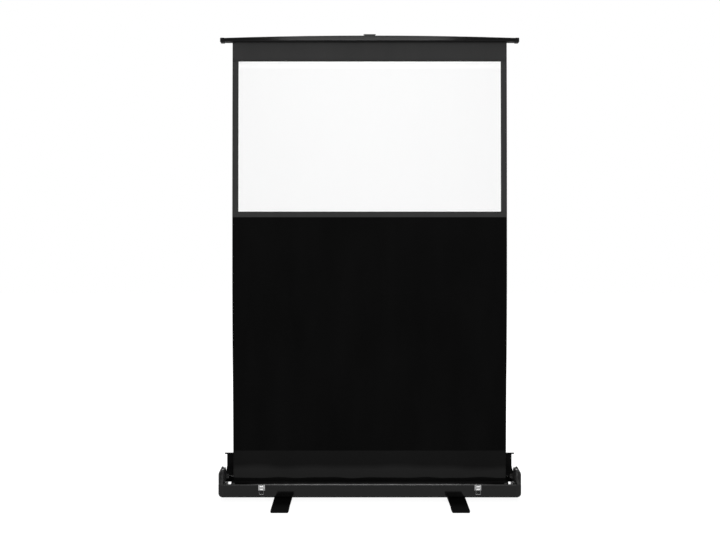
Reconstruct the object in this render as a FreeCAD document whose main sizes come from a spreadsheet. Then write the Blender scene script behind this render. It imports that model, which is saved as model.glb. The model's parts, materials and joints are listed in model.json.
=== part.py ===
import FreeCAD, Part
import math
import os
import re
import Sketcher

# Portable pull-up projection screen, shown raised with its lid open and its feet turned out.
# The origin is on the floor under the middle of the case. X runs along the case, Y points to
# the back, Z points up. All lengths are in millimetres and all angles in degrees.

# Driving dimensions
SIZES = {
    # Case tray and its end caps
    "case_length": 1464, "case_depth": 118, "case_lift": 24, "wall_height": 68, "wall": 2,
    "back_height": 74.6, "bead_radius": 4.5, "lip_depth": 14, "lip_rise": 3.5, "ledge": 6,
    "case_corner": 9, "cap_thick": 27.5, "cap_corner": 22, "cap_round": 4,
    "slot_width": 42, "slot_low": 28, "slot_high": 46, "slot_inset": 2,
    # Hinge ears on top of the end caps
    "ear_inset": 1.5, "flange_thick": 9, "ear_front": 120, "ear_slope_in": 11, "ear_slope": 126,
    "ear_peak_in": 35, "ear_peak": 135, "ear_back_in": 23, "ear_back": 126, "ear_round": 4,
    "shoulder_width": 12, "shoulder_front_in": 31, "shoulder_top": 130, "shoulder_back_in": 34,
    "shoulder_heel": 88, "heel_width": 24, "heel_depth": 10,
    # Lid, in its open position
    "hinge_out": 3, "hinge_height": 82, "knuckle_radius": 7, "lid_pin_radius": 4, "lid_pin_grip": 20,
    "lid_gap": 4, "lid_depth": 43, "lid_heel": 116, "lid_top": 178, "lid_forward": 13,
    "lid_tip": 197, "lid_round": 4, "seal_depth": 5, "seal_height": 7,
    # Roller and its carriers
    "roller_front": 9.2, "roller_height": 54, "tube_radius": 20, "tube_wall": 1.5,
    "roller_inset": 34, "cloth_turns": 1.5, "roller_pin_radius": 4, "plug_length": 18,
    "bracket_thick": 10, "bracket_width": 28, "bracket_rise": 12, "roller_gap": 22,
    "shaft_radius": 8, "spring_length": 300, "spring_wire": 3, "spring_gap": 0.2,
    # Projection cloth
    "cloth_inset": 35, "cloth_thick": 0.5, "cloth_gap": 0.3, "tail_height": 32,
    "leader_height": 137, "drop_height": 1187, "border_low": 28, "white_height": 762.5,
    "border_side": 31, "border_top": 98.5,
    # Scissor linkage
    "fold_angle": 59, "arm_width": 22, "arm_thick": 5, "layer_gap": 1.2,
    "cheek_gap": 1.2, "arm_clear": 10, "pivot_radius": 4, "pivot_head": 7, "head_thick": 2,
    "collar_radius": 9, "running_gap": 0.08, "side_gap": 0.1, "base_pin_height": 38,
    "bracket_plate": 3, "bracket_length": 60, "cheek_margin": 12, "top_drop": 30,
    # Top bar
    "bar_overhang": 7, "bar_depth": 24, "bar_forward": 9.5, "rail_height": 7, "cover_end": 13,
    "cover_arch": 12, "bar_cap_length": 20, "bar_cap_low": 2.5, "bar_cap_high": 19.5,
    "bar_cap_proud": 1, "bar_round": 4, "grip_length": 64, "grip_flare": 5, "grip_height": 7,
    "grip_depth": 18, "grip_screw_radius": 3, "grip_screw_height": 1, "grip_screw_spread": 20,
    # Draw latches on the case front
    "latch_inset": 191, "latch_width": 32, "latch_low": 38, "latch_high": 66, "latch_plate": 1.5,
    "lug_thick": 2, "lug_depth": 10, "lug_low": 52, "lug_high": 65, "latch_pin_radius": 1.5,
    "latch_pin_y": 6, "latch_pin_height": 60, "lever_width": 18,
    "lever_thick": 2.5, "lever_gap": 0.4, "bail_wire": 2, "bail_drop": 24, "bail_gap": 0.3,
    "bail_pivot_drop": 15, "rivet_radius": 2.5, "rivet_height": 1, "catch_width": 24,
    # Feet
    "foot_inset": 296, "foot_width": 87, "foot_reach": 209, "foot_tip": 9, "foot_under": 3,
    "foot_arch": 9, "foot_flat": 45, "foot_heel": 160, "foot_rise": 15, "washer_thick": 2,
    "washer_radius": 30, "bolt_radius": 6, "bolt_head_radius": 12, "bolt_head": 5,
    "pad_length": 44, "pad_inset": 3,
    # Small fasteners
    "screw_radius": 4, "screw_height": 1.5, "end_screw_in": 19, "end_screw_low": 29,
    "end_screw_high": 54, "ear_screw_in": 42, "ear_screw_radius": 5, "ear_screw_height": 3,
}

# Lengths and places that follow from the sizes: the case sets the widths and the depths, and
# the cloth sets the height
DERIVED = {
    "roller_length": "case_length - 2 * roller_inset",
    "cloth_width": "case_length - 2 * cloth_inset",
    "white_width": "case_length - 2 * cloth_inset - 2 * border_side",
    "bar_length": "case_length + 2 * bar_overhang",
    "latch_x": "case_length / 2 - latch_inset",
    "foot_x": "case_length / 2 - foot_inset",
    "cloth_height": "tail_height + leader_height + drop_height + border_low + white_height + border_top",
    "rail_z": "case_lift + roller_height + cloth_height",
    "arm_length": "(rail_z - top_drop - case_lift - base_pin_height) / (2 * sin(fold_angle))",
    "roller_y": "-case_depth / 2 + wall + roller_front + tube_radius + cloth_turns",
    "cloth_y": "roller_y + tube_radius + cloth_turns + cloth_gap",
    "arm_front_y": "cloth_y + cloth_thick + arm_clear",
    "bar_front_y": "cloth_y - bar_forward",
    "hinge_y": "case_depth / 2 + hinge_out",
    "lid_back_y": "hinge_y + lid_depth",
    "lid_tip_y": "hinge_y - lid_forward",
    "ear_slope_y": "ear_slope_in - case_depth / 2",
    "ear_peak_y": "case_depth / 2 - ear_peak_in",
    "ear_back_y": "case_depth / 2 - ear_back_in",
    "shoulder_front_y": "shoulder_front_in - case_depth / 2",
    "shoulder_back_y": "case_depth / 2 - shoulder_back_in",
    "ear_screw_y": "ear_screw_in - case_depth / 2",
    "end_screw_y": "case_depth / 2 - end_screw_in",
}

doc = FreeCAD.newDocument("projection_screen")
sheet = doc.addObject("Spreadsheet::Sheet", "sizes")
for row, (alias, value) in enumerate(SIZES.items(), start=1):
    sheet.set("A%d" % row, alias)
    sheet.set("B%d" % row, str(value))
    sheet.setAlias("B%d" % row, alias)
doc.recompute()

# Places that several pieces share, as expressions on the sheet
FRONT = "(-case_depth / 2)"
BACK = "(case_depth / 2)"
WALL_TOP = "(case_lift + wall_height)"
FLOOR = "(case_lift + wall)"
CASE_END = "(case_length / 2)"
CAP_END = "(case_length / 2 + cap_thick)"
EAR_END = "(case_length / 2 + cap_thick - ear_inset)"
FLANGE = "(case_length / 2 + cap_thick - ear_inset - flange_thick)"
HINGE_Z = "(case_lift + hinge_height)"
ROLLER_Z = "(case_lift + roller_height)"
WOUND = "(tube_radius + cloth_turns)"
LAYER_ONE = "arm_front_y"
LAYER_TWO = "(arm_front_y + arm_thick + layer_gap)"
LAYERS_END = "(arm_front_y + 2 * arm_thick + layer_gap)"
CHEEK_FRONT = "(arm_front_y - cheek_gap)"
CHEEK_BACK = "(arm_front_y + 2 * arm_thick + layer_gap + cheek_gap)"
BASE_Z = "(case_lift + base_pin_height)"
REACH = "(arm_length / 2 * cos(fold_angle))"
RISE = "(arm_length / 2 * sin(fold_angle))"
RAIL_Z = "rail_z"
TOP_Z = "(rail_z - top_drop)"
BAR_BACK = "(bar_front_y + bar_depth)"
COVER_TOP = RAIL_Z + " + rail_height + cover_end + cover_arch"
LATCH_Y = "(-case_depth / 2 - latch_plate)"
LATCH_PIN_Y = "(-case_depth / 2 - latch_plate - latch_pin_y)"
LATCH_PIN_Z = "(case_lift + latch_pin_height)"
BAIL_Z = "(case_lift + latch_pin_height - bail_pivot_drop)"
FOOT_TOP = "(case_lift - washer_thick)"

WORD = re.compile(r"[a-z_]+[a-z0-9_]*")
PLANES = {"YZ": "YZ_Plane", "XZ": "XZ_Plane", "XY": "XY_Plane"}
SIDES = (("left", -1), ("right", 1))
nodes = {}


def bind(text):
    """Spell out the derived lengths in an expression and point each size's name at its cell."""
    def swap(match):
        word = match.group()
        if word in DERIVED:
            return "(%s)" % bind(DERIVED[word])
        return "sizes." + word if word in SIZES else word
    return WORD.sub(swap, str(text))


def number(text):
    return float(sheet.evalExpression(bind(text)))


def minus(text):
    return "-(%s)" % text


def new_sketch(body, plane, place):
    """A sketch on one of the body's own planes, moved along that plane's normal."""
    sketch = body.newObject("Sketcher::SketchObject", body.Name + "_sketch")
    support = [f for f in body.Origin.OriginFeatures if f.Role == PLANES[plane]][0]
    sketch.AttachmentSupport = [(support, "")]
    sketch.MapMode = "FlatFace"
    sketch.setExpression("AttachmentOffset.Base.z", bind(place))
    return sketch


def fix(sketch, geometry, point, kind, text):
    """Hold one coordinate of a sketch point at an expression's value."""
    index = sketch.addConstraint(Sketcher.Constraint(kind, -1, 1, geometry, point, number(text)))
    sketch.setExpression("Constraints[%d]" % index, bind(text))


def arc_between(start, end, centre):
    """The shorter arc from start to end; the flag says whether it runs clockwise."""
    radius = math.dist(start, centre)
    low = math.atan2(start[1] - centre[1], start[0] - centre[0])
    high = math.atan2(end[1] - centre[1], end[0] - centre[0])
    clockwise = (high - low) % (2 * math.pi) > math.pi
    if clockwise:
        low, high = high, low
    circle = Part.Circle(FreeCAD.Vector(centre[0], centre[1], 0), FreeCAD.Vector(0, 0, 1), radius)
    return Part.ArcOfCircle(circle, low, high), clockwise


def outline(sketch, points, arcs=None):
    """A closed outline through points; arcs maps a point's index to the centre of its arc."""
    arcs = arcs or {}
    places = [(number(u), number(v)) for u, v in points]
    count = len(points)
    edges = []
    for i in range(count):
        start, end = places[i], places[(i + 1) % count]
        clockwise = False
        if i in arcs:
            centre = [number(c) for c in arcs[i]]
            curve, clockwise = arc_between(start, end, centre)
        else:
            curve = Part.LineSegment(FreeCAD.Vector(*start, 0), FreeCAD.Vector(*end, 0))
        edges.append((sketch.addGeometry(curve, False), 2 if clockwise else 1))
    for i in range(count):
        here, first = edges[i]
        after, after_first = edges[(i + 1) % count]
        sketch.addConstraint(Sketcher.Constraint("Coincident", here, 3 - first, after, after_first))
    for i in range(count):
        geometry, first = edges[i]
        fix(sketch, geometry, first, "DistanceX", points[i][0])
        fix(sketch, geometry, first, "DistanceY", points[i][1])
        if i in arcs:
            start, end = places[i], places[(i + 1) % count]
            level = abs(end[0] - start[0]) > abs(end[1] - start[1])
            fix(sketch, geometry, 3, "DistanceY" if level else "DistanceX", arcs[i][1 if level else 0])


def circle(sketch, centre, radius):
    place = FreeCAD.Vector(number(centre[0]), number(centre[1]), 0)
    ring = Part.Circle(place, FreeCAD.Vector(0, 0, 1), number(radius))
    geometry = sketch.addGeometry(ring, False)
    fix(sketch, geometry, 3, "DistanceX", centre[0])
    fix(sketch, geometry, 3, "DistanceY", centre[1])
    index = sketch.addConstraint(Sketcher.Constraint("Radius", geometry, number(radius)))
    sketch.setExpression("Constraints[%d]" % index, bind(radius))


def draw(sketch, loops):
    """Draw each loop: a circle, or an outline with straight and round edges."""
    for loop in loops:
        if "radius" in loop:
            circle(sketch, loop["centre"], loop["radius"])
        else:
            outline(sketch, loop["points"], loop.get("arcs"))


def layer(body, kind, plane, loops, low, high):
    """Pad or pocket the loops between two places along the plane's axis."""
    turned = plane == "XZ"
    sketch = new_sketch(body, plane, minus(high) if turned else low)
    draw(sketch, loops)
    feature = body.newObject("PartDesign::" + kind, body.Name + "_" + kind.lower())
    feature.Profile = sketch
    feature.setExpression("Length", bind("(%s) - (%s)" % (high, low)))
    if kind == "Pocket":
        feature.Reversed = True
    return feature


def round_edges(body, radius, chosen):
    """Fillet the edges of the body's last feature that the chosen test picks."""
    doc.recompute()
    base = body.Tip
    names = ["Edge%d" % (i + 1) for i, e in enumerate(base.Shape.Edges) if chosen(e)]
    fillet = body.newObject("PartDesign::Fillet", body.Name + "_fillet")
    fillet.Base = (base, names)
    fillet.setExpression("Radius", bind(radius))


def along(axis, first, second, tolerance=0.01):
    """A test for straight edges along one axis at a place in the other two coordinates."""
    others = [i for i in range(3) if i != axis]
    target = (number(first), number(second))

    def chosen(edge):
        ends = [v.Point for v in edge.Vertexes]
        if len(ends) != 2:
            return False
        return all(abs(p[others[k]] - target[k]) < tolerance for p in ends for k in range(2))
    return chosen


def any_of(*tests):
    return lambda edge: any(test(edge) for test in tests)


def rim(axis, place, tolerance=0.01):
    """A test for open edges that lie in one plane square to an axis."""
    target = number(place)

    def chosen(edge):
        ends = [v.Point for v in edge.Vertexes]
        return len(ends) == 2 and all(abs(p[axis] - target) < tolerance for p in ends)
    return chosen


def new_body(label):
    body = doc.addObject("PartDesign::Body", label)
    body.Label = label
    return body


def solid(label, plane, *layers):
    """A body made of pads, each given as (loops, low, high)."""
    body = new_body(label)
    for loops, low, high in layers:
        layer(body, "Pad", plane, loops, low, high)
    nodes[label] = body
    return body


def group(label, bodies):
    """Several equal pieces kept as one node of separate solids."""
    for body in bodies:
        nodes.pop(body.Label)
    compound = doc.addObject("Part::Compound", label)
    compound.Label = label
    compound.Links = bodies
    nodes[label] = compound


def box_loop(u_low, v_low, u_high, v_high):
    return {"points": [(u_low, v_low), (u_high, v_low), (u_high, v_high), (u_low, v_high)]}


def disc(centre, radius):
    return {"centre": centre, "radius": radius}


def signed(side, text):
    return "(%d) * (%s)" % (side, text)


def span(side, near, far):
    """Low and high ends of a stretch measured outwards from the middle on one side."""
    if side > 0:
        return near, far
    return minus(far), minus(near)


def case_tray():
    """U-shaped extrusion: rolled front edge with a seat behind it, ledge under the lid, rear slots."""
    inner_front = FRONT + " + wall"
    inner_back = BACK + " - wall"
    back_top = "case_lift + back_height"
    bead = (FRONT + " + bead_radius", WALL_TOP + " - bead_radius")
    seat_y = FRONT + " + lip_depth"
    seat_z = WALL_TOP + " + lip_rise"
    under_z = WALL_TOP + " - 2 * bead_radius"
    ledge_y = BACK + " + ledge"
    points = [(FRONT, "case_lift"), (BACK, "case_lift"), (BACK, back_top + " - wall"),
              (ledge_y, back_top + " - wall"), (ledge_y, back_top), (inner_back, back_top),
              (inner_back, FLOOR), (inner_front, FLOOR), (inner_front, under_z),
              (seat_y, seat_z + " - wall"), (seat_y, seat_z), (bead[0], WALL_TOP), (FRONT, bead[1])]
    profile = {"points": points, "arcs": {len(points) - 2: bead}}
    body = solid("case_tray", "YZ", ([profile], minus(CASE_END), CASE_END))
    inner = any_of(along(0, inner_front, FLOOR), along(0, inner_back, FLOOR))
    outer = any_of(along(0, FRONT, "case_lift"), along(0, BACK, "case_lift"))
    round_edges(body, "case_corner - wall", inner)
    round_edges(body, "case_corner", outer)
    slots = []
    notches = []
    for _, side in SIDES:
        low, high = span(side, CASE_END + " - slot_inset - slot_width", CASE_END + " - slot_inset")
        slots.append(box_loop(low, "case_lift + slot_low", high, "case_lift + slot_high"))
        low, high = span(side, CASE_END + " - slot_width", CASE_END + " + wall")
        notches.append(box_loop(low, bead[0], high, seat_y + " + wall"))
    layer(body, "Pocket", "XZ", slots, BACK + " - 2 * wall", BACK + " + wall")
    layer(body, "Pocket", "XY", notches, under_z + " - wall", seat_z + " + wall")


def end_cap(name, side):
    """Moulded cap that closes one end of the tray, with a wide round at its lower outer corner."""
    near, far = signed(side, CASE_END), signed(side, CAP_END)
    turn = (signed(side, CAP_END + " - cap_corner"), "case_lift + cap_corner")
    face = {"points": [(near, "case_lift"), (turn[0], "case_lift"), (far, turn[1]), (far, WALL_TOP),
                       (near, WALL_TOP)],
            "arcs": {1: turn}}
    body = solid("end_cap_" + name, "XZ", ([face], FRONT, BACK))
    joined = rim(0, near)
    top = rim(2, WALL_TOP)
    sides = any_of(rim(1, FRONT), rim(1, BACK))
    round_edges(body, "case_corner", lambda e: sides(e) and not joined(e) and not top(e))
    round_edges(body, "cap_round", lambda e: top(e) and not joined(e))


def hinge_ear(name, side):
    """Upper end plate: an outer flange, an inner shoulder that the closed lid lies on, and a low heel."""
    lug_back = "hinge_y + knuckle_radius + wall"
    heel_y = "hinge_y - knuckle_radius - wall / 2"
    flange = [(FRONT, WALL_TOP), (lug_back, WALL_TOP), (lug_back, HINGE_Z + " + lid_pin_radius"),
              ("ear_back_y", "case_lift + ear_back"), ("ear_peak_y", "case_lift + ear_peak"),
              ("ear_slope_y", "case_lift + ear_slope"), (FRONT, "case_lift + ear_front")]
    shoulder = [(FRONT + " + wall", WALL_TOP), (heel_y, WALL_TOP),
                (heel_y, "case_lift + shoulder_heel"),
                ("shoulder_back_y", "case_lift + shoulder_top"),
                ("shoulder_front_y", "case_lift + shoulder_top")]
    heel = box_loop(heel_y + " - heel_depth", WALL_TOP, heel_y, "case_lift + shoulder_heel")
    hole = disc(("hinge_y", HINGE_Z), "lid_pin_radius")
    body = solid("hinge_ear_" + name, "YZ",
                 ([{"points": flange}, hole], *span(side, FLANGE, EAR_END)),
                 ([{"points": shoulder}], *span(side, FLANGE + " - shoulder_width", FLANGE)),
                 ([heel], *span(side, FLANGE + " - heel_width", FLANGE)))
    round_edges(body, "ear_round", rim(0, signed(side, EAR_END)))


def case_fasteners():
    """Lid hinge pins, end screws and ear screws."""
    pins = []
    screws = []
    caps = []
    for name, side in SIDES:
        reach = span(side, FLANGE + " - lid_pin_grip", EAR_END + " - ear_round")
        shank = [disc(("hinge_y", HINGE_Z), "lid_pin_radius")]
        pins.append(solid("lid_pin_" + name, "YZ", (shank, *reach)))
        head = span(side, CAP_END, CAP_END + " + screw_height")
        for y in ("-end_screw_y", "end_screw_y"):
            for z in ("case_lift + end_screw_low", "case_lift + end_screw_high"):
                label = "end_screw_%s_%d" % (name, len(screws))
                screws.append(solid(label, "YZ", ([disc((y, z), "screw_radius")], *head)))
        x = signed(side, FLANGE + " - shoulder_width / 2")
        top = "case_lift + shoulder_top"
        cap = [disc((x, "ear_screw_y"), "ear_screw_radius")]
        caps.append(solid("ear_screw_" + name, "XY", (cap, top, top + " + ear_screw_height")))
    group("lid_pins", pins)
    group("end_screws", screws)
    group("ear_screws", caps)


# The lid's skirt falls from its tip to its top corner, and its heel rises from the hinge
SKIRT = "((lid_tip - lid_top) / (lid_back_y - lid_tip_y))"
HEEL = "((lid_heel - hinge_height) / (lid_back_y - hinge_y))"
SKIRT_THICK = "wall * sqrt(1 + %s ^ 2)" % SKIRT
HEEL_THICK = "wall * sqrt(1 + %s ^ 2)" % HEEL
LID_HALF = "(%s - lid_gap)" % FLANGE
LID_TIP_Z = "(case_lift + lid_tip)"


def lid():
    """Bent sheet lid with a knuckle along its hinge edge, a seal and two latch catches."""
    root = "knuckle_radius * 2 / 3"
    inner_y = "lid_back_y - wall"
    root_z = "%s + %s * %s" % (HINGE_Z, root, HEEL)
    points = [("hinge_y + " + root, root_z), ("lid_back_y", "case_lift + lid_heel"),
              ("lid_back_y", "case_lift + lid_top"), ("lid_tip_y", LID_TIP_Z),
              ("lid_tip_y", "%s - %s" % (LID_TIP_Z, SKIRT_THICK)),
              (inner_y, "case_lift + lid_top + wall * %s - %s" % (SKIRT, SKIRT_THICK)),
              (inner_y, "case_lift + lid_heel - wall * %s + %s" % (HEEL, HEEL_THICK)),
              ("hinge_y + " + root, "%s + %s" % (root_z, HEEL_THICK))]
    axis = ("hinge_y", HINGE_Z)
    knuckle = [disc(axis, "knuckle_radius"), disc(axis, "lid_pin_radius + running_gap")]
    body = new_body("lid_shell")
    nodes["lid_shell"] = body
    layer(body, "Pad", "YZ", [{"points": points}], minus(LID_HALF), LID_HALF)
    round_edges(body, "lid_round - wall", any_of(along(0, *points[5]), along(0, *points[6])))
    round_edges(body, "lid_round", any_of(along(0, *points[1]), along(0, *points[2])))
    layer(body, "Pad", "YZ", knuckle, minus(LID_HALF), LID_HALF)
    seal = box_loop("lid_tip_y - seal_depth", LID_TIP_Z + " - seal_height * 2 / 3", "lid_tip_y",
                    LID_TIP_Z + " + seal_height / 3")
    strip = solid("lid_seal", "YZ", ([seal], minus(LID_HALF), LID_HALF))
    front_edges = any_of(along(0, *seal["points"][0]), along(0, *seal["points"][3]))
    round_edges(strip, "seal_depth / 3", front_edges)

    def on_skirt(offset):
        return "%s - (%s) * %s" % (LID_TIP_Z, offset, SKIRT)

    near, far = "catch_width / 3", "catch_width"
    hook = "catch_width / 8"
    catch = [("lid_tip_y + " + near, on_skirt(near)), ("lid_tip_y + " + far, on_skirt(far)),
             ("lid_tip_y + " + far, on_skirt(far) + " + wall"),
             ("lid_tip_y + %s + %s" % (near, hook), on_skirt(near) + " + wall"),
             ("lid_tip_y + %s + %s" % (near, hook), on_skirt(near) + " + 2 * " + hook),
             ("lid_tip_y + " + near, on_skirt(near) + " + 2 * " + hook)]
    pieces = []
    for name, side in SIDES:
        x = signed(side, "latch_x")
        pieces.append(solid("lid_catch_" + name, "YZ",
                            ([{"points": catch}], x + " - catch_width / 2", x + " + catch_width / 2")))
    group("lid_catches", pieces)


def roller():
    """Spring roller: tube, last turns of cloth, plugs, fixed shaft and pin, spring, brackets."""
    axis = ("roller_y", ROLLER_Z)
    end = "roller_length / 2"
    inner = "tube_radius - tube_wall"
    outer_end = end + " + roller_gap + bracket_thick"
    solid("roller_tube", "YZ", ([disc(axis, "tube_radius"), disc(axis, inner)], minus(end), end))
    solid("wound_cloth", "YZ",
          ([disc(axis, WOUND), disc(axis, "tube_radius")], "-cloth_width / 2", "cloth_width / 2"))
    plugs = []
    for name, side in SIDES:
        loops = [disc(axis, inner), disc(axis, "roller_pin_radius + running_gap")]
        plugs.append(solid("roller_plug_" + name, "YZ", (loops, *span(side, end + " - plug_length", end))))
        low, high = span(side, end + " + roller_gap", outer_end)
        plate = box_loop("roller_y - bracket_width / 2", FLOOR, "roller_y + bracket_width / 2",
                         ROLLER_Z + " + bracket_rise")
        hole = disc(axis, "roller_pin_radius")
        bracket = solid("roller_bracket_" + name, "YZ", ([plate, hole], low, high))
        tops = any_of(along(0, *plate["points"][2]), along(0, *plate["points"][3]))
        round_edges(bracket, "bracket_rise / 2", tops)
    group("roller_plugs", plugs)
    pin = [disc(axis, "roller_pin_radius")]
    shaft_start = end + " - plug_length - side_gap"
    solid("roller_pin", "YZ", (pin, end + " - plug_length", outer_end))
    solid("spring_shaft", "YZ", (pin, minus(outer_end), minus(shaft_start)),
          ([disc(axis, "shaft_radius")], minus(shaft_start), minus(shaft_start) + " + spring_length"))
    bore = "shaft_radius + spring_gap"
    solid("roller_spring", "YZ", ([disc(axis, bore + " + spring_wire"), disc(axis, bore)],
                                  minus(shaft_start), minus(shaft_start) + " + spring_length"))


def cloth():
    """The sheet from the roller to the top bar: tail, leader, drop, border and white field."""
    half = "cloth_width / 2"
    leader_low = ROLLER_Z + " + tail_height"
    drop_low = leader_low + " + leader_height"
    border = drop_low + " + drop_height"
    white_low = border + " + border_low"
    white_high = white_low + " + white_height"
    depth = ("cloth_y", "cloth_y + cloth_thick")
    white = box_loop("-white_width / 2", white_low, "white_width / 2", white_high)
    bands = {"cloth_tail": [box_loop(minus(half), ROLLER_Z, half, leader_low)],
             "cloth_leader": [box_loop(minus(half), leader_low, half, drop_low)],
             "cloth_drop": [box_loop(minus(half), drop_low, half, border)],
             "cloth_border": [box_loop(minus(half), border, half, RAIL_Z), white],
             "white_field": [white]}
    for label, loops in bands.items():
        solid(label, "XZ", (loops, *depth))


def fork(label, low, high, plate_low, plate_high, pin_z):
    """U-shaped bracket whose two cheeks hold a pivot pin between low and high."""
    front = CHEEK_FRONT + " - bracket_plate"
    back = CHEEK_BACK + " + bracket_plate"
    half = "bracket_length / 2"
    plate = box_loop(front, plate_low, back, plate_high)
    cheeks = [box_loop(front, low, CHEEK_FRONT, high), box_loop(CHEEK_BACK, low, back, high)]
    body = solid(label, "YZ", ([plate], minus(half), half), *[([c], minus(half), half) for c in cheeks])
    layer(body, "Pocket", "XZ", [disc(("0", pin_z), "pivot_radius")], front + " - wall", back + " + wall")


def pivot(label, x, z, front, back):
    """Headed pin along Y with a spacing collar between the two layers of arms."""
    centre = (x, z)
    collar = (LAYER_ONE + " + arm_thick + side_gap", LAYER_TWO + " - side_gap")
    solid(label, "XZ", ([disc(centre, "pivot_radius")], front, back),
          ([disc(centre, "pivot_head")], front + " - head_thick", front),
          ([disc(centre, "pivot_head")], back, back + " + head_thick"),
          ([disc(centre, "collar_radius")], *collar))
    return nodes[label]


def arm(label, length, place, angle, depth, fixed=()):
    """Flat bar with round ends and a bore at each pivot; fixed lists the bores that hold a pin."""
    half = "arm_width / 2"
    stadium = {"points": [("0", minus(half)), (length, minus(half)), (length + " + " + half, "0"),
                          (length, half), ("0", half), (minus(half), "0")],
               "arcs": {1: (length, "0"), 2: (length, "0"), 4: ("0", "0"), 5: ("0", "0")}}
    places = ["0", length]
    if length == "arm_length":
        places.insert(1, "arm_length / 2")
    bores = [disc((x, "0"), "pivot_radius" if i in fixed else "pivot_radius + running_gap")
             for i, x in enumerate(places)]
    body = solid(label, "XZ", ([stadium] + bores, depth, depth + " + arm_thick"))
    body.Placement = FreeCAD.Placement(FreeCAD.Vector(0, 0, 0),
                                       FreeCAD.Rotation(FreeCAD.Vector(0, -1, 0), number(angle)))
    body.setExpression("Placement.Rotation.Angle", bind(angle))
    body.setExpression("Placement.Base.x", bind(place[0]))
    body.setExpression("Placement.Base.z", bind(place[1]))


def scissor():
    """Two half arms, two crossing long arms and two more half arms, in two layers."""
    half = "arm_length / 2"
    rising, falling = "fold_angle", "180 - fold_angle"
    low_z = BASE_Z + " + " + RISE
    cross_z = BASE_Z + " + 2 * " + RISE
    high_z = BASE_Z + " + 3 * " + RISE
    arm("lower_arm_left", half, ("0", BASE_Z), falling, LAYER_ONE, fixed=(1,))
    arm("lower_arm_right", half, ("0", BASE_Z), rising, LAYER_TWO, fixed=(1,))
    arm("long_arm_back", "arm_length", (minus(REACH), low_z), rising, LAYER_TWO, fixed=(1, 2))
    arm("long_arm_front", "arm_length", (REACH, low_z), falling, LAYER_ONE, fixed=(2,))
    arm("upper_arm_right", half, (REACH, high_z), falling, LAYER_ONE)
    arm("upper_arm_left", half, (minus(REACH), high_z), rising, LAYER_TWO)
    front = LAYER_ONE + " - side_gap"
    back = LAYERS_END + " + side_gap"
    pivot("lower_pin_left", minus(REACH), low_z, front, back)
    pivot("lower_pin_right", REACH, low_z, front, back)
    pivot("upper_pin_left", minus(REACH), high_z, front, back)
    group("long_arm_pins", [pivot("cross_pin", "0", cross_z, front, back),
                            pivot("upper_pin_right", REACH, high_z, front, back)])
    cheek_front = CHEEK_FRONT + " - bracket_plate"
    cheek_back = CHEEK_BACK + " + bracket_plate"
    pivot("base_pin", "0", BASE_Z, cheek_front, cheek_back)
    pivot("top_pin", "0", TOP_Z, cheek_front, cheek_back)
    fork("base_bracket", FLOOR, BASE_Z + " + cheek_margin", FLOOR, FLOOR + " + bracket_plate", BASE_Z)
    fork("top_bracket", TOP_Z + " - cheek_margin", RAIL_Z, RAIL_Z + " - bracket_plate", RAIL_Z, TOP_Z)


def top_bar():
    """Flat rail, arched cover, end caps and the pull grip with its screws."""
    half = "bar_length / 2"
    cover_z = RAIL_Z + " + rail_height"
    shoulder_z = cover_z + " + cover_end"
    arch_radius = "((bar_length / 2) ^ 2 + cover_arch ^ 2) / (2 * cover_arch)"
    arch_centre = ("0", "%s + cover_arch - %s" % (shoulder_z, arch_radius))
    rail = box_loop("bar_front_y", RAIL_Z, BAR_BACK, cover_z)
    solid("top_rail", "YZ", ([rail], minus(half), half))
    arch = {"points": [(minus(half), cover_z), (half, cover_z), (half, shoulder_z), ("0", COVER_TOP),
                       (minus(half), shoulder_z)],
            "arcs": {2: arch_centre, 3: arch_centre}}
    cover = solid("bar_cover", "XZ", ([arch], "bar_front_y", BAR_BACK))
    low = number(shoulder_z) - number("side_gap")

    def crest(edge):
        on_face = any_of(rim(1, "bar_front_y"), rim(1, BAR_BACK))(edge)
        return on_face and all(v.Point.z > low for v in edge.Vertexes)

    round_edges(cover, "bar_round", crest)
    hollow = box_loop("-bar_length / 2 + wall", "bar_front_y + wall",
                      "bar_length / 2 - wall", BAR_BACK + " - wall")
    layer(cover, "Pocket", "XY", [hollow], cover_z, shoulder_z + " - wall")
    cap = box_loop("bar_front_y - bar_cap_proud", RAIL_Z + " - bar_cap_low",
                   BAR_BACK + " + bar_cap_proud", RAIL_Z + " + bar_cap_high")
    for name, side in SIDES:
        body = solid("bar_cap_" + name, "YZ", ([cap], *span(side, half, half + " + bar_cap_length")))
        round_edges(body, "bar_round", rim(0, signed(side, half + " + bar_cap_length")))
    middle = "bar_front_y + bar_depth / 2"
    grip_top = COVER_TOP + " + grip_height"
    foot = "grip_length / 2 - grip_flare"
    grip = {"points": [(minus(foot), COVER_TOP), (foot, COVER_TOP), ("grip_length / 2", grip_top),
                       ("-grip_length / 2", grip_top)]}
    body = solid("pull_grip", "XZ", ([grip], middle + " - grip_depth / 2", middle + " + grip_depth / 2"))
    upright = any_of(*[along(2, x, y) for x in ("-grip_length / 2", "grip_length / 2")
                       for y in (middle + " - grip_depth / 2", middle + " + grip_depth / 2")])
    round_edges(body, "grip_screw_height", any_of(upright, rim(2, grip_top)))
    screws = []
    for name, side in SIDES:
        head = [disc((signed(side, "grip_screw_spread"), middle), "grip_screw_radius")]
        screws.append(solid("grip_screw_" + name, "XY",
                            (head, grip_top, grip_top + " + grip_screw_height")))
    group("grip_screws", screws)


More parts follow.
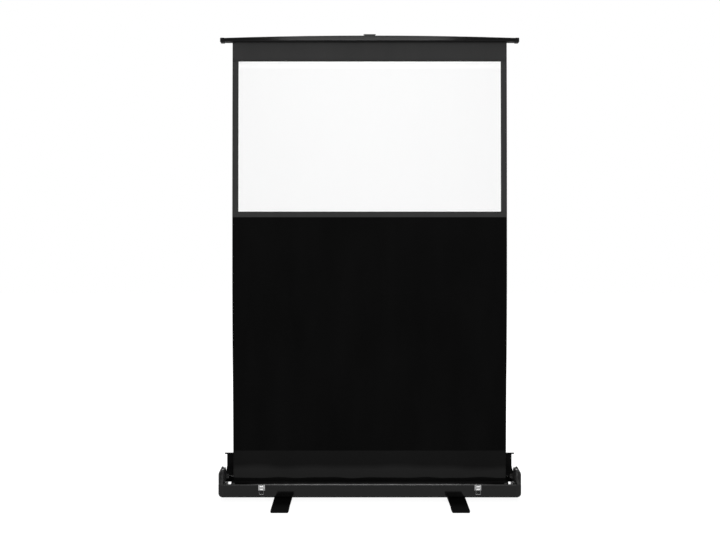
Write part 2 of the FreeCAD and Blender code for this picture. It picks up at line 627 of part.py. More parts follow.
def wire_loop(label, x, y, top, bottom, half, radius):
    """Closed rectangular wire loop with round corners, in a plane square to Y."""
    body = new_body(label)
    nodes[label] = body
    bend = "2 * " + radius
    left, right = "%s - %s" % (x, half), "%s + %s" % (x, half)
    corners = [(left, bottom, 1, 1), (right, bottom, -1, 1), (right, top, -1, -1), (left, top, 1, -1)]
    points = []
    arcs = {}
    for i, (u, v, across, up) in enumerate(corners):
        inner = ("%s + (%d) * %s" % (u, across, bend), "%s + (%d) * %s" % (v, up, bend))
        beside, above = (inner[0], v), (u, inner[1])
        first, second = (above, beside) if i % 2 == 0 else (beside, above)
        arcs[len(points)] = inner
        points += [first, second]
    spine = new_sketch(body, "XZ", minus(y))
    outline(spine, points, arcs)
    profile = new_sketch(body, "YZ", x)
    circle(profile, (y, top), radius)
    pipe = body.newObject("PartDesign::AdditivePipe", label + "_pipe")
    pipe.Profile = profile
    doc.recompute()
    pipe.Spine = (spine, ["Edge%d" % (i + 1) for i in range(len(points))])


def latch(name, side):
    """Draw latch: plate with two lugs, pin, lever with two barrels, and a hanging wire bail."""
    x = signed(side, "latch_x")
    axis = (LATCH_PIN_Y, LATCH_PIN_Z)
    bail_axis = (LATCH_PIN_Y, BAIL_Z)
    inner = "lever_width / 2 + lever_gap"
    outer = inner + " + lug_thick"
    plate = box_loop(x + " - latch_width / 2", "case_lift + latch_low", x + " + latch_width / 2",
                     "case_lift + latch_high")
    lug_low, lug_high = "case_lift + lug_low", "case_lift + lug_high"
    lugs = [box_loop("%s - (%s)" % (x, outer), lug_low, "%s - (%s)" % (x, inner), lug_high),
            box_loop("%s + %s" % (x, inner), lug_low, "%s + %s" % (x, outer), lug_high)]
    lug_front = LATCH_Y + " - lug_depth"
    body = solid("latch_plate_" + name, "XZ", ([plate], LATCH_Y, FRONT),
                 *[([lug], lug_front, LATCH_Y) for lug in lugs])
    ends = ("%s - (%s)" % (x, outer), "%s + %s" % (x, outer))
    layer(body, "Pocket", "YZ", [disc(axis, "latch_pin_radius")], *ends)
    solid("latch_pin_" + name, "YZ", ([disc(axis, "latch_pin_radius")], *ends))
    width = (x + " - lever_width / 2", x + " + lever_width / 2")
    barrel = "latch_pin_radius + lever_thick"
    bail_bore = "bail_wire / 2 + running_gap"
    bail_barrel = "bail_wire / 2 + lever_thick"
    web = box_loop(LATCH_PIN_Y + " - lever_thick / 2", BAIL_Z + " + bail_wire / 2 + lever_thick / 2",
                   LATCH_PIN_Y + " + lever_thick / 2",
                   LATCH_PIN_Z + " - latch_pin_radius - lever_thick / 2")
    solid("latch_lever_" + name, "YZ",
          ([disc(axis, barrel), disc(axis, "latch_pin_radius + running_gap")], *width),
          ([web], *width), ([disc(bail_axis, bail_barrel), disc(bail_axis, bail_bore)], *width))
    reach = "(lever_width / 2 + bail_gap + bail_wire)"
    wire_loop("latch_bail_" + name, x, LATCH_PIN_Y, BAIL_Z, BAIL_Z + " - bail_drop", reach,
              "(bail_wire / 2)")
    rivets = []
    rivet_z = "case_lift + latch_low + 2 * rivet_radius"
    for edge, across in SIDES:
        rivet_x = "%s + %s" % (x, signed(across, "latch_width / 2 - 2 * rivet_radius"))
        rivets.append(solid("rivet_%s_%s" % (name, edge), "XZ",
                            ([disc((rivet_x, rivet_z), "rivet_radius")],
                             LATCH_Y + " - rivet_height", LATCH_Y)))
    return rivets


def foot(name, side):
    """Long flat foot, highest under the case, with a rubber pad under each tip."""
    x = signed(side, "foot_x")
    ends = (x + " - foot_width / 2", x + " + foot_width / 2")
    arch_end = "(foot_heel - foot_rise)"
    profile = [("-foot_reach", "foot_under"), ("-foot_heel", "foot_under"), (minus(arch_end), "foot_arch"),
               (arch_end, "foot_arch"), ("foot_heel", "foot_under"), ("foot_reach", "foot_under"),
               ("foot_reach", "foot_tip"), ("foot_flat", FOOT_TOP), ("-foot_flat", FOOT_TOP),
               ("-foot_reach", "foot_tip")]
    body = solid("foot_" + name, "YZ", ([{"points": profile}], *ends))
    bore = [disc((x, "0"), "bolt_radius + running_gap")]
    layer(body, "Pocket", "XY", bore, "0", "case_lift")
    tips = any_of(*[along(2, u, v) for u in ends for v in ("-foot_reach", "foot_reach")])
    round_edges(body, "foot_tip", tips)
    pads = []
    for along_y in SIDES:
        low, high = span(along_y[1], "foot_reach - pad_inset - pad_length", "foot_reach - pad_inset")
        pad = box_loop(ends[0] + " + pad_inset", low, ends[1] + " - pad_inset", high)
        pads.append(solid("foot_pad_%s_%s" % (name, along_y[0]), "XY", ([pad], "0", "foot_under")))
    group("foot_pads_" + name, pads)


def foot_pivots():
    """Headed studs that the feet turn on, and the washers between feet and case."""
    studs = []
    washers = []
    for name, side in SIDES:
        place = (signed(side, "foot_x"), "0")
        head_top = "foot_arch - side_gap"
        studs.append(solid("foot_stud_" + name, "XY", ([disc(place, "bolt_radius")], head_top, "case_lift"),
                           ([disc(place, "bolt_head_radius")], head_top + " - bolt_head", head_top)))
        washers.append(solid("foot_washer_" + name, "XY",
                             ([disc(place, "washer_radius"), disc(place, "bolt_radius")],
                              FOOT_TOP + " + side_gap", "case_lift")))
    group("foot_studs", studs)
    group("foot_washers", washers)


def save():
    """Check every object and every piece, then write one file for each piece."""
    doc.recompute()
    for item in doc.Objects:
        if "Invalid" in item.State or "Error" in item.State:
            raise RuntimeError("%s is %s" % (item.Label, item.State))
    for label, item in nodes.items():
        if item.Shape.isNull() or not item.Shape.isValid() or not item.Shape.Solids:
            raise RuntimeError("%s has no valid shape" % label)
    os.makedirs("parts", exist_ok=True)
    for label, item in nodes.items():
        item.Shape.exportStep("parts/%s.step" % label)


case_tray()
for side_name, side_sign in SIDES:
    end_cap(side_name, side_sign)
    hinge_ear(side_name, side_sign)
case_fasteners()
lid()
roller()
cloth()
scissor()
top_bar()
all_rivets = []
for side_name, side_sign in SIDES:
    all_rivets += latch(side_name, side_sign)
    foot(side_name, side_sign)
group("latch_rivets", all_rivets)
foot_pivots()
save()
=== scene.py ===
import json
import math
import bpy
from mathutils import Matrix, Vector


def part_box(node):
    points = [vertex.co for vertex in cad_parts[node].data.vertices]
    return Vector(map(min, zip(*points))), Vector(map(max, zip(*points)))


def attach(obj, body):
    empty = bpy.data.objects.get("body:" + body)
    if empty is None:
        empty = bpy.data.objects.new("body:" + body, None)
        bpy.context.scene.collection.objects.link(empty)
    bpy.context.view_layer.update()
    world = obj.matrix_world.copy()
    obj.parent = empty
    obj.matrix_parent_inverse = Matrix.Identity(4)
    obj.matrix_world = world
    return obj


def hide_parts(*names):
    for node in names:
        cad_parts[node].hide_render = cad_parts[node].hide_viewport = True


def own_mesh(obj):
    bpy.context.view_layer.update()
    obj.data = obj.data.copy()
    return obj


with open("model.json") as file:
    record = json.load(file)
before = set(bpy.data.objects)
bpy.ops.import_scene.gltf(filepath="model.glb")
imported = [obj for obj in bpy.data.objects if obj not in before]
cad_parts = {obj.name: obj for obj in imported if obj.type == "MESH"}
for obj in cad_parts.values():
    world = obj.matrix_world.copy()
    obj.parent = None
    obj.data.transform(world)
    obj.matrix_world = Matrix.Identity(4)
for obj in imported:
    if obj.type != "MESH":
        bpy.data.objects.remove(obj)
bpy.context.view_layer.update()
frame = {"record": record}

# Portable projection screen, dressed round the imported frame. Metres, Z up, the front faces -Y.

SCENE = bpy.context.scene
SCENE.view_settings.view_transform = "Standard"


def add_piece(name, data):
    piece = bpy.data.objects.new(name, data)
    SCENE.collection.objects.link(piece)
    return piece


# Node helpers
NOISE_RANGE = (0.3, 0.7)      # where most values of a noise texture lie
FULL_RANGE = (0.0, 1.0)
NOISE_ROUGHNESS = 0.55
THREAD_WOBBLE, THREAD_DETAIL = 0.4, 1.0
ALONG_X = (1.0, 0.0, 0.0)     # stretch of a texture that changes only along the case


def new_material(name):
    material = bpy.data.materials.new(name)
    material.use_nodes = True
    tree = material.node_tree
    return material, tree, tree.nodes["Principled BSDF"]


def node(tree, kind, **sockets):
    made = tree.nodes.new("ShaderNode" + kind)
    for key, value in sockets.items():
        made.inputs[key].default_value = value
    return made


def link(tree, source, target):
    tree.links.new(source, target)


def calc(tree, operation, *values):
    """One step of arithmetic on the outputs of other nodes."""
    made = node(tree, "Math")
    made.operation = operation
    for value, socket in zip(values, made.inputs):
        link(tree, value, socket)
    return made.outputs["Value"]


def coords(tree, stretch=(1, 1, 1)):
    """Position on the piece in metres, stretched along the axes."""
    place = node(tree, "TexCoord")
    mapping = node(tree, "Mapping", Scale=stretch)
    link(tree, place.outputs["Object"], mapping.inputs["Vector"])
    return mapping.outputs["Vector"]


def axes(tree, vector):
    """The X, Y and Z parts of a vector."""
    parts = node(tree, "SeparateXYZ")
    link(tree, vector, parts.inputs["Vector"])
    return [parts.outputs[axis] for axis in "XYZ"]


def noise(tree, vector, scale, detail):
    made = node(tree, "TexNoise", Scale=scale, Detail=detail, Roughness=NOISE_ROUGHNESS)
    link(tree, vector, made.inputs["Vector"])
    return made.outputs["Fac"]


def threads(tree, vector, scale, axis):
    """Slightly uneven threads, side by side along an axis."""
    made = node(tree, "TexWave", Scale=scale, Distortion=THREAD_WOBBLE, Detail=THREAD_DETAIL)
    made.bands_direction = axis
    link(tree, vector, made.inputs["Vector"])
    return made.outputs["Fac"]


def spread(tree, value, low, high, source=NOISE_RANGE):
    """Map a value from its source range to the range from low to high."""
    start, end = source
    made = node(tree, "MapRange", **{"From Min": start, "From Max": end, "To Min": low, "To Max": high})
    link(tree, value, made.inputs["Value"])
    return made.outputs["Result"]


def ramp(tree, value, dark, light, source=NOISE_RANGE):
    """Map a value from its source range to the greys from dark to light."""
    made = node(tree, "ValToRGB")
    for element, position, level in zip(made.color_ramp.elements, source, (dark, light)):
        element.position = position
        element.color = (level, level, level, 1)
    link(tree, value, made.inputs["Fac"])
    return made.outputs["Color"]


def dress(tree, shader, colour, rough, specular):
    link(tree, colour, shader.inputs["Base Color"])
    link(tree, rough, shader.inputs["Roughness"])
    shader.inputs["Specular IOR Level"].default_value = specular


def bump(tree, shader, height, strength, distance):
    made = node(tree, "Bump", Strength=strength, Distance=distance)
    link(tree, height, made.inputs["Height"])
    link(tree, made.outputs["Normal"], shader.inputs["Normal"])


# Finishes. Levels are linear greys, grain and thread counts are texture scales, depths are in metres.
GRAIN_DETAIL, GRAIN_STRENGTH = 2.0, 0.35
GLOSS_VARY, CLOTH_GLOSS_VARY = 0.15, 0.05
CLOTH_PATCH, CLOTH_DETAIL, CLOTH_STRETCH = 3.0, 3.0, (2.0, 1.0, 0.6)
WEAVE_STRENGTH, LEADER_STRENGTH = 0.25, 0.2


def varied(level, vary):
    return level * (1 - vary), level * (1 + vary)


def coated(name, level, rough, grain, depth, patch=3.0, vary=0.25, stretch=(1, 1, 1), metal=0.0,
           specular=0.5):
    """A painted, moulded or plated surface: fine grain in relief and gloss, slow change in colour."""
    material, tree, shader = new_material(name)
    vector = coords(tree, stretch)
    slow = noise(tree, vector, patch, GRAIN_DETAIL)
    fine = noise(tree, vector, grain, GRAIN_DETAIL)
    dress(tree, shader, ramp(tree, slow, *varied(level, vary)),
          spread(tree, fine, *varied(rough, GLOSS_VARY)), specular)
    shader.inputs["Metallic"].default_value = metal
    bump(tree, shader, fine, GRAIN_STRENGTH, depth)
    return material


def woven(name, level, rough, count, depth, vary=0.12, specular=0.03):
    """Cloth: two crossed sets of threads, with slow change in tone and gloss."""
    material, tree, shader = new_material(name)
    vector = coords(tree)
    crossed = calc(tree, "MAXIMUM", threads(tree, vector, count, "X"), threads(tree, vector, count, "Z"))
    slow = noise(tree, coords(tree, CLOTH_STRETCH), CLOTH_PATCH, CLOTH_DETAIL)
    dress(tree, shader, ramp(tree, slow, *varied(level, vary)),
          spread(tree, slow, *varied(rough, CLOTH_GLOSS_VARY)), specular)
    bump(tree, shader, crossed, WEAVE_STRENGTH, depth)
    return material


def leader(name, dark, light, rough, count, depth, specular):
    """Coated leader cloth: a lighter lower half with a soft uneven edge, which is a painted reflection, over a
    fine weave.
    """
    fade_heights, uneven = (0.15, 0.178), 0.012
    drift_scale, drift_detail = 2.8, 1.0
    material, tree, shader = new_material(name)
    vector = coords(tree)
    height = axes(tree, vector)[2]
    drift = noise(tree, coords(tree, ALONG_X), drift_scale, drift_detail)
    edge = calc(tree, "ADD", height, spread(tree, drift, -uneven, uneven))
    # Painted reflection: the lower half of the leader is a lighter grey, under an uneven edge.
    lower = spread(tree, edge, 1.0, 0.0, fade_heights)
    dress(tree, shader, ramp(tree, lower, dark, light, FULL_RANGE), spread(tree, drift, *rough), specular)
    bump(tree, shader, threads(tree, vector, count, "X"), LEADER_STRENGTH, depth)
    return material


def lid_with_shaded_inside(name, inside_shade_grey, paint, rough, grain, depth, specular):
    """Lid sheet: a darker matt black inside as painted shade, and a satin coat over paint on the faces that
    point outwards.
    """
    turn, coat_weight, coat_rough = (-0.05, 0.05), (0.4, 0.6), 0.16
    coat_patch, coat_detail = 4.0, 3.0
    material, tree, shader = new_material(name)
    vector = coords(tree)
    # Painted shade: the faces that point to the front, inside the lid, take the darker grey.
    facing = axes(tree, node(tree, "TexCoord").outputs["Normal"])[1]
    outside = spread(tree, facing, 0.0, 1.0, turn)
    fine = noise(tree, vector, grain, GRAIN_DETAIL)
    dress(tree, shader, ramp(tree, outside, inside_shade_grey, paint, FULL_RANGE), spread(tree, fine, *rough), specular)
    coat = spread(tree, noise(tree, vector, coat_patch, coat_detail), *coat_weight)
    link(tree, calc(tree, "MULTIPLY", outside, coat), shader.inputs["Coat Weight"])
    shader.inputs["Coat Roughness"].default_value = coat_rough
    bump(tree, shader, fine, GRAIN_STRENGTH, depth)
    return material


def coat_with_painted_highlight(name, paint, highlight_grey, rough, grain, depth, specular):
    """Powder coat of the case, with a painted highlight: paler grey along the middle of its rolled front edge.
    """
    edge_z, edge_y, from_middle = (0.0885, 0.0905), (-0.0548, -0.0535), (0.38, 0.62)
    highlight_behind_edge = 0.12
    glint_scale, glint_detail, glint_share = 14.0, 4.0, (0.55, 1.2)
    patch, patch_detail, patch_share = 3.0, 2.0, (0.0, 0.01)
    material, tree, shader = new_material(name)
    vector = coords(tree)
    x, y, z = axes(tree, vector)
    # Painted highlight: paler grey along the middle of the rolled front edge, uneven along the case and fading
    # towards its ends.
    highlight_share = spread(tree, noise(tree, coords(tree, ALONG_X), glint_scale, glint_detail), *glint_share)
    for factor in (spread(tree, z, 0.0, 1.0, edge_z),
                   spread(tree, y, 1.0, highlight_behind_edge, edge_y),
                   spread(tree, calc(tree, "ABSOLUTE", x), 1.0, 0.0, from_middle)):
        highlight_share = calc(tree, "MULTIPLY", highlight_share, factor)
    patches = spread(tree, noise(tree, vector, patch, patch_detail), *patch_share)
    fine = noise(tree, vector, grain, GRAIN_DETAIL)
    dress(tree, shader, ramp(tree, calc(tree, "ADD", highlight_share, patches), paint, highlight_grey, FULL_RANGE),
          spread(tree, fine, *varied(rough, GLOSS_VARY)), specular)
    bump(tree, shader, fine, GRAIN_STRENGTH, depth)
    return material


def paint_with_lit_tips(name, paint, lit_tip_grey, rough, grain, depth, specular):
    """Dull paint of the feet, greyer towards the tips as painted light that the tips catch."""
    tip_distance = (0.115, 0.17)
    material, tree, shader = new_material(name)
    vector = coords(tree)
    # Painted light: the paint turns greyer towards the tips of the feet.
    lit_tips = spread(tree, calc(tree, "ABSOLUTE", axes(tree, vector)[1]), 0.0, 1.0, tip_distance)
    fine = noise(tree, vector, grain, GRAIN_DETAIL)
    dress(tree, shader, ramp(tree, lit_tips, paint, lit_tip_grey, FULL_RANGE), spread(tree, fine, *rough), specular)
    bump(tree, shader, fine, GRAIN_STRENGTH, depth)
    return material


# The record's own slots
MATERIALS = {
    "black_aluminium": coated("powder_coat", level=0.003, rough=0.16, grain=1400.0, depth=0.000008,
                              specular=0.2),
    "black_plastic": coated("moulded_plastic", level=0.004, rough=0.32, grain=700.0, depth=0.00004,
                            specular=0.17),
    "chrome": coated("bright_plate", level=0.36, rough=0.18, grain=300.0, depth=0.00002, vary=0.3,
                     stretch=(0.2, 1, 4), metal=1.0),
    "steel": coated("zinc_plate", level=0.32, rough=0.32, grain=500.0, depth=0.00004, vary=0.15,
                    stretch=(1, 1, 0.2), metal=1.0),
    "roller_aluminium": coated("mill_aluminium", level=0.5, rough=0.35, grain=600.0, depth=0.00003, vary=0.1,
                               stretch=(0.05, 1, 1), metal=1.0),
    "rubber": coated("rubber", level=0.012, rough=0.85, grain=500.0, depth=0.0003),
    "white_cloth": woven("white_coating", level=0.955, rough=0.9, count=220.0, depth=0.00004, vary=0.004),
    "black_cloth": woven("black_cloth", level=0.0026, rough=0.9, count=220.0, depth=0.0001, vary=0.35),
    "border_cloth": woven("border_print", level=0.036, rough=0.9, count=220.0, depth=0.00006, vary=0.06),
    # The leader's lighter lower half is a painted reflection.
    "leader_cloth": leader("leader_cloth", dark=0.0036, light=0.0122, rough=(0.7, 0.8), count=260.0,
                           depth=0.0001, specular=0.06),
}

# Finishes that set single pieces apart within a slot
MATERIALS.update(
    seam=woven("seam_tape", level=0.004, rough=0.8, count=260.0, depth=0.0001),
    backing=woven("black_backing", level=0.011, rough=0.8, count=150.0, depth=0.00015, vary=0.2, specular=0.1),
    # The lid is painted darker inside, as painted shade.
    lid_finish=lid_with_shaded_inside("lid_finish", inside_shade_grey=0.0015, paint=0.003, rough=(0.55, 0.7), grain=1200.0,
                         depth=0.00002, specular=0.04),
    seal_finish=coated("seal_foam", level=0.0015, rough=0.7, grain=700.0, depth=0.0002, specular=0.04),
    arm_finish=coated("arm_paint", level=0.006, rough=0.3, grain=900.0, depth=0.00003, specular=0.4),
    # The feet get painted light: greyer towards their tips.
    foot_finish=paint_with_lit_tips("foot_finish", paint=0.0014, lit_tip_grey=0.0064, rough=(0.5, 0.7), grain=900.0,
                        depth=0.00004, specular=0.008),
    ear_finish=coated("ear_moulding", level=0.03, rough=0.5, grain=700.0, depth=0.00004, patch=70.0, vary=0.5,
                      specular=0.05),
    screw_finish=coated("screw_plate", level=0.28, rough=0.3, grain=900.0, depth=0.00002, vary=0.2, metal=1.0),
    bail_finish=coated("wire_plate", level=0.2, rough=0.25, grain=300.0, depth=0.00002, vary=0.2, metal=1.0),
    # The case tray's coat carries a painted highlight on its rolled front edge.
    tray_finish=coat_with_painted_highlight("tray_coat_painted_highlight", paint=0.0014, highlight_grey=0.15, rough=0.1, grain=1400.0, depth=0.000008,
                          specular=0.2),
    bar_finish=coated("bar_coat", level=0.003, rough=0.12, grain=1400.0, depth=0.000003, specular=0.08),
    rail_finish=coated("rail_finish", level=0.003, rough=0.5, grain=900.0, depth=0.00004, specular=0.06),
    cap_finish=coated("cap_moulding", level=0.0045, rough=0.5, grain=700.0, depth=0.00004, specular=0.05),
)

BODY_OF = {name: body for body, names in frame["record"]["behaviour"]["bodies"].items() for name in names}
SLOTS = {part["node"]: part["material_slot"] for part in frame["record"]["subparts"]}
SLOTS.update(lid_shell="lid_finish", lid_seal="seal_finish", case_tray="tray_finish",
             bar_cover="bar_finish", top_rail="rail_finish")
for side in ("left", "right"):
    SLOTS.update({"foot_" + side: "foot_finish", "latch_bail_" + side: "bail_finish",
                  "hinge_ear_" + side: "ear_finish", "bar_cap_" + side: "cap_finish"})
SLOTS.update({name: "arm_finish" for name in SLOTS if "_arm_" in name and "pins" not in name})
for name, slot in SLOTS.items():
    for entry in bpy.data.objects[name].material_slots:
        entry.material = MATERIALS[slot]


# Mesh helpers
def steps(marks, pitch):
    """Places from the first mark to the last, through every mark, about one pitch apart."""
    places = [marks[0]]
    for start, end in zip(marks, marks[1:]):
        count = max(1, round((end - start) / pitch))
        places += [start + (end - start) * i / count for i in range(1, count + 1)]
    return places


def grid_rim(across, up):
    """Numbers of the points round the edge of a grid that is numbered row by row."""
    rim = list(range(across)) + [j * across + across - 1 for j in range(1, up)]
    rim += [(up - 1) * across + i for i in range(across - 2, -1, -1)]
    return rim + [j * across for j in range(up - 2, 0, -1)]


# Projection cloth from the roller to the rail, front and back faces with their bands. The strip above
# the white field hangs on the rail and stays whole; what is below it moves with the body of the white field.
LOW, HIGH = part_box("cloth_tail")[0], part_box("cloth_border")[1]
LEADER_Z, DROP_Z, BORDER_Z = (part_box(name)[0].z for name in ("cloth_leader", "cloth_drop", "cloth_border"))
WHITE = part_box("white_field")
BANDS = ["white_cloth", "border_cloth", "seam", "black_cloth", "leader_cloth", "backing"]
SEAM = 0.004
HEM, HEM_STEP, HEM_THICK = 0.018, 0.0006, 0.0005
COLUMN_PITCH, LEADER_PITCH, FIELD_PITCH, STRIP_PITCH = 0.012, 0.008, 0.04, 0.02

# The waves across the cloth's width: share, radians per metre and phase
WAVES = ((1.0, 31.0, 0.7), (0.6, 53.0, 2.1), (0.4, 17.0, -0.9))

# Depth, middle above the leader's lower edge, reach up and down, and slant of the ripple by the roller
RIPPLE, RIPPLE_RISE, RIPPLE_REACH, RIPPLE_SLANT = 0.0024, 0.02, 0.09, 0.5

# Height, reach up and down, and slowness of the wave in the leader's lower edge, which is also the wavy top of
# painted shade: the strip below it over the roller is black cloth and partly painted shade.
EDGE_WAVE, EDGE_WAVE_REACH, EDGE_WAVE_RATE = 0.0035, 0.02, 0.8

# How far the side edges stand out from their straight line at the roller, half way up and at the rail
OUT_LOW, OUT_MIDDLE, OUT_HIGH = -0.004, 0.0014, -0.0003


def sway(x):
    """Slow uneven wave along the cloth's width, within one either way."""
    total = sum(share for share, rate, phase in WAVES)
    return sum(share * math.sin(x * rate + phase) for share, rate, phase in WAVES) / total


def flare(z):
    """How far the cloth's edge stands out from its straight width: drawn in low down, slack half way up."""
    share = (z - LOW.z) / (HIGH.z - LOW.z)
    if share > 0.5:
        return OUT_MIDDLE - (OUT_MIDDLE - OUT_HIGH) * (2 * share - 1) ** 2
    return OUT_LOW + (OUT_MIDDLE - OUT_LOW) * math.sin(share * math.pi) ** 2


def cloth_point(x, z, y):
    x *= 1 + flare(z) / HIGH.x
    fade = max(0.0, 1 - abs(z - LEADER_Z - RIPPLE_RISE) / RIPPLE_REACH)
    ease = fade * fade * (3 - 2 * fade)
    lift = EDGE_WAVE * sway(x * EDGE_WAVE_RATE) * max(0.0, 1 - abs(z - LEADER_Z) / EDGE_WAVE_REACH)
    return (x, y + RIPPLE * ease * (1 + sway(x + z * RIPPLE_SLANT)) / 2, z + lift)


def band(x, z):
    # Black cloth below the leader: this strip over the roller is partly painted shade.
    if z < LEADER_Z:
        return "black_cloth"
    if z < DROP_Z:
        return "leader_cloth"
    if z < BORDER_Z - SEAM:
        return "black_cloth"
    if z < BORDER_Z:
        return "seam"
    inside = WHITE[0].x < x < WHITE[1].x and WHITE[0].z < z < WHITE[1].z
    return "white_cloth" if inside else "border_cloth"


def cloth_piece(name, zs):
    """Part of the cloth over rows of heights: front bands, black back with a hem, and closed edges."""
    xs = steps([LOW.x, LOW.x + HEM, LOW.x + HEM + HEM_STEP, WHITE[0].x, WHITE[1].x,
                HIGH.x - HEM - HEM_STEP, HIGH.x - HEM, HIGH.x], COLUMN_PITCH)
    across, up = len(xs), len(zs)
    folded_edge = HIGH.x - HEM - HEM_STEP / 2
    verts = [cloth_point(x, z, LOW.y) for z in zs for x in xs]
    verts += [cloth_point(x, z, HIGH.y + HEM_THICK * (abs(x) > folded_edge)) for z in zs for x in xs]
    back = across * up
    faces, kinds = [], []
    for j in range(up - 1):
        for i in range(across - 1):
            a = j * across + i
            ring = (a, a + 1, a + across + 1, a + across)
            faces += [ring, tuple(v + back for v in reversed(ring))]
            kinds += [band((xs[i] + xs[i + 1]) / 2, (zs[j] + zs[j + 1]) / 2), "backing"]
    rim = grid_rim(across, up)
    for a, b in zip(rim, rim[1:] + rim[:1]):
        faces.append((a, a + back, b + back, b))
        kinds.append("backing")
    mesh = bpy.data.meshes.new(name)
    mesh.from_pydata(verts, [], faces)
    for slot in BANDS:
        mesh.materials.append(MATERIALS[slot])
    mesh.polygons.foreach_set("material_index", [BANDS.index(kind) for kind in kinds])
    mesh.polygons.foreach_set("use_smooth", [True] * len(faces))
    mesh.update()
    return add_piece(name, mesh)


def screen_cloth():
    low_rows = steps([LOW.z, LEADER_Z, DROP_Z], LEADER_PITCH)
    high_rows = steps([DROP_Z, BORDER_Z - SEAM, BORDER_Z, WHITE[0].z, WHITE[1].z], FIELD_PITCH)
    sheet = cloth_piece("screen_cloth", low_rows + high_rows[1:])
    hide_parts("cloth_tail", "cloth_leader", "cloth_drop", "cloth_border", "white_field")
    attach(sheet, BODY_OF["white_field"])
    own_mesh(sheet)
    strip = cloth_piece("top_strip", steps([WHITE[1].z, HIGH.z], STRIP_PITCH))
    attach(strip, BODY_OF["top_rail"])


screen_cloth()


# Screw heads with a cross recess, in place of the plain round heads. Marks, widths and reaches are shares
# of the head's radius; the rim's height and the recess's depth are shares of its height.
HEAD_MARKS = [-1, -0.85, -0.72, -0.62, -0.61, -0.4, -0.16, -0.15, 0.15, 0.16, 0.4, 0.61, 0.62, 0.72, 0.85, 1]
HEAD_RIM, RECESS_DEPTH = 0.45, 0.45
RECESS_HALF_WIDTH, RECESS_REACH = 0.155, 0.615
END_HEAD_RADIUS, END_HEAD_HEIGHT = 4, 1.5     # the proportions of the end screws' heads
END_TURN, TOP_TURN = 0.7, 0.9                 # radians by which each recess is turned from the last


def outward(place):
    return Vector((math.copysign(1, place[0]), 0, 0))


def upward(place):
    return Vector((0, 0, 1))


def head_point(u, v, radius, height):
    """Point of a domed head over a square grid pressed into a disc, sunk where the cross is."""
    x, y = u * math.sqrt(1 - v * v / 2), v * math.sqrt(1 - u * u / 2)
    out = math.hypot(x, y)
    rise = height * (HEAD_RIM + (1 - HEAD_RIM) * math.sqrt(max(0.0, 1 - out * out)))
    across, along = sorted((abs(u), abs(v)))
    if across < RECESS_HALF_WIDTH and along < RECESS_REACH:
        rise -= RECESS_DEPTH * height
    return x * radius, y * radius, rise


def screw_heads(name, replaced, places, axis, radius, height, turn):
    """Several equal heads in one mesh; axis gives the way they point, places are their seats."""
    count = len(HEAD_MARKS)
    verts, faces = [], []
    for index, place in enumerate(places):
        facing = axis(place)
        spin = Vector((0, 0, 1)).rotation_difference(facing)
        sine, cosine = math.sin(turn * (index + 1)), math.cos(turn * (index + 1))
        first = len(verts)
        for v in HEAD_MARKS:
            for u in HEAD_MARKS:
                x, y, z = head_point(u, v, radius, height)
                local = Vector((x * cosine - y * sine, x * sine + y * cosine, z))
                verts.append(Vector(place) + spin @ local)
        for j in range(count - 1):
            for i in range(count - 1):
                a = first + j * count + i
                faces.append((a, a + 1, a + count + 1, a + count))
        edge = [first + a for a in grid_rim(count, count)]
        foot, size = len(verts), len(edge)
        verts += [verts[a] - facing * (verts[a] - Vector(place)).dot(facing) for a in edge]
        faces += [(edge[k], foot + k, foot + (k + 1) % size, edge[(k + 1) % size]) for k in range(size)]
        faces.append(tuple(foot + k for k in range(size - 1, -1, -1)))
    mesh = bpy.data.meshes.new(name)
    mesh.from_pydata(verts, [], faces)
    mesh.update()
    mesh.materials.append(MATERIALS["screw_finish"])
    piece = add_piece(name, mesh)
    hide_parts(replaced)
    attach(piece, BODY_OF[replaced])


def screws():
    low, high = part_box("end_screws")
    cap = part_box("end_cap_right")[1].x
    height = high.x - cap
    radius = height * END_HEAD_RADIUS / END_HEAD_HEIGHT
    seats = [(x, y, z) for x in (-cap, cap) for y in (low.y + radius, high.y - radius)
             for z in (low.z + radius, high.z - radius)]
    screw_heads("end_screw_heads", "end_screws", seats, outward, radius, height, END_TURN)
    for replaced, name in (("ear_screws", "ear_screw_heads"), ("grip_screws", "grip_screw_heads")):
        low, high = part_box(replaced)
        radius = (high.y - low.y) / 2
        seats = [(x, (low.y + high.y) / 2, low.z) for x in (low.x + radius, high.x - radius)]
        screw_heads(name, replaced, seats, upward, radius, high.z - low.z, TOP_TURN)


screws()


# Stage, light and camera
FLOOR_REACH, FLOOR_GREY = 30.0, 0.4
FLOOR_GLOW, FLOOR_GLOW_DISTANCE = (0.88, 1.0), (1.0, 2.5)
AMBIENT = 0.1
PLAIN_WHITE = (1, 1, 1, 1)
SENSOR_WIDTH, PHOTO_WIDTH = 36.0, 720     # millimetres and pixels


def seen(tree):
    """One for rays that show the white surround: from the camera, a gloss or a clear piece."""
    path = node(tree, "LightPath")
    total = path.outputs["Is Camera Ray"]
    for name in ("Is Glossy Ray", "Is Transmission Ray"):
        total = calc(tree, "MAXIMUM", total, path.outputs[name])
    return total


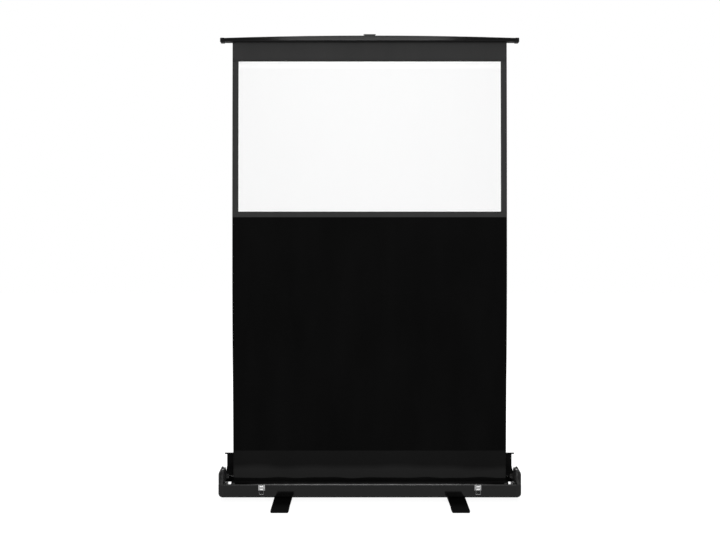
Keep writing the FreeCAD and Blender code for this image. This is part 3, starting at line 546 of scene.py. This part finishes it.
def floor():
    """White floor that keeps a faint shadow: a glow for the rays that see it, over matt grey."""
    reach = FLOOR_REACH
    mesh = bpy.data.meshes.new("floor")
    corners = [(-reach, -reach, 0), (reach, -reach, 0), (reach, reach, 0), (-reach, reach, 0)]
    mesh.from_pydata(corners, [], [(0, 1, 2, 3)])
    piece = add_piece("floor", mesh)
    material = bpy.data.materials.new("floor")
    material.use_nodes = True
    tree = material.node_tree
    tree.nodes.clear()
    out = node(tree, "OutputMaterial")
    both = node(tree, "AddShader")
    glow = node(tree, "Emission", Color=PLAIN_WHITE)
    matt = node(tree, "BsdfDiffuse", Color=(FLOOR_GREY, FLOOR_GREY, FLOOR_GREY, 1))
    distance = node(tree, "VectorMath")
    distance.operation = "LENGTH"
    link(tree, coords(tree), distance.inputs[0])
    level = spread(tree, distance.outputs["Value"], *FLOOR_GLOW, FLOOR_GLOW_DISTANCE)
    link(tree, calc(tree, "MULTIPLY", level, seen(tree)), glow.inputs["Strength"])
    link(tree, glow.outputs["Emission"], both.inputs[0])
    link(tree, matt.outputs["BSDF"], both.inputs[1])
    link(tree, both.outputs["Shader"], out.inputs["Surface"])
    mesh.materials.append(material)


def surround():
    """White where it is seen, and a dim even light otherwise."""
    world = bpy.data.worlds.new("surround")
    SCENE.world = world
    world.use_nodes = True
    tree = world.node_tree
    tree.nodes.clear()
    out = node(tree, "OutputWorld")
    mix = node(tree, "MixShader")
    dim = node(tree, "Background", Color=PLAIN_WHITE, Strength=AMBIENT)
    white = node(tree, "Background", Color=PLAIN_WHITE, Strength=1.0)
    link(tree, seen(tree), mix.inputs["Fac"])
    link(tree, dim.outputs["Background"], mix.inputs[1])
    link(tree, white.outputs["Background"], mix.inputs[2])
    link(tree, mix.outputs["Shader"], out.inputs["Surface"])


def softbox(name, place, target, width, height, power):
    light = bpy.data.lights.new(name, "AREA")
    light.shape = "RECTANGLE"
    light.size, light.size_y = width, height
    light.energy = power
    piece = add_piece(name, light)
    piece.location = place
    piece.rotation_euler = (Vector(target) - Vector(place)).to_track_quat("-Z", "Y").to_euler()


def camera(place, focal_pixels):
    """Level camera that looks straight at the front."""
    lens = bpy.data.cameras.new("camera")
    lens.sensor_fit = "HORIZONTAL"
    lens.sensor_width = SENSOR_WIDTH
    lens.lens = focal_pixels * SENSOR_WIDTH / PHOTO_WIDTH
    piece = add_piece("camera", lens)
    piece.location = place
    piece.rotation_euler = (math.pi / 2, 0, 0)
    SCENE.camera = piece


floor()
surround()
softbox("key", place=(0, -4.2, 3.6), target=(0, 0, 1.2), width=1.9, height=0.25, power=30)
softbox("fill", place=(0, -5.0, 1.4), target=(0, 0, 1.1), width=4.0, height=3.0, power=192)
softbox("overhead", place=(0, 0.2, 4.2), target=(0, 0.2, 0), width=2.4, height=1.6, power=90)
softbox("rear", place=(0, 4.8, 2.6), target=(0, 0, 1.0), width=3.5, height=2.5, power=90)
camera(place=(-0.049, -3.52, 1.165), focal_pixels=691.6)
